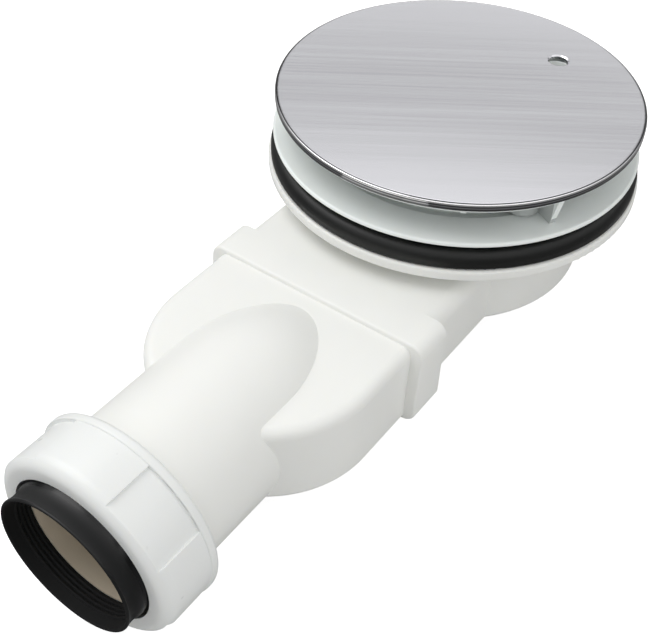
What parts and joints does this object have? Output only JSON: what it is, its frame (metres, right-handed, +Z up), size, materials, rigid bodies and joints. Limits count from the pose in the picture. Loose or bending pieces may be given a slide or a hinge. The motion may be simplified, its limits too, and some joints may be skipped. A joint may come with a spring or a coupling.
{
  "type": "shower tray trap",
  "caption": "Low-profile shower tray trap with a round metal cover, a clamping flange, a flat duct and a horizontal pipe outlet with a compression nut.",
  "frame": {"origin": "on the waste axis, level with the underside of the shower tray, which is the upper face of the tray gasket", "axes": "+X along the duct towards the outlet, +Z up along the waste axis"},
  "size_m": [0.2475, 0.1246, 0.0794],
  "materials": {
    "cover_metal": "satin face with a polished edge",
    "spring_steel": "bright spring steel",
    "white_plastic": "moulded, satin",
    "body_plastic": "moulded, satin",
    "nut_plastic": "moulded, soft gloss",
    "black_rubber": "smooth",
    "seal_rubber": "smooth"
  },
  "bodies": {
    "root": {"cover_plate": "cover_metal", "cover_carrier": "white_plastic", "stud_clip": "spring_steel", "hair_strainer": "white_plastic", "dip_tube": "white_plastic", "dip_tube_ring": "black_rubber", "clamp_flange": "white_plastic", "flange_seal": "black_rubber", "tray_gasket": "black_rubber", "trap_body": "body_plastic", "joint_seal": "black_rubber", "outlet_chamber": "body_plastic", "weir_insert": "body_plastic", "outlet_seal": "seal_rubber"},
    "slip_ring": {"slip_ring": "white_plastic"},
    "nut": {"compression_nut": "nut_plastic"}
  },
  "joints": [
    {"name": "ring_slide", "type": "slide", "parent": "root", "child": "slip_ring", "axis": [1, 0, 0], "range_m": [0, 0.0105]},
    {"name": "nut_turn", "type": "hinge", "parent": "slip_ring", "child": "nut", "pos_m": [0.168, 0, -0.0315], "axis": [1, 0, 0], "range_deg": [0, 1080]}
  ],
  "couplings": [
    {"joint": "ring_slide", "follows": "nut_turn", "m_per_rad": 0.00055704}
  ]
}
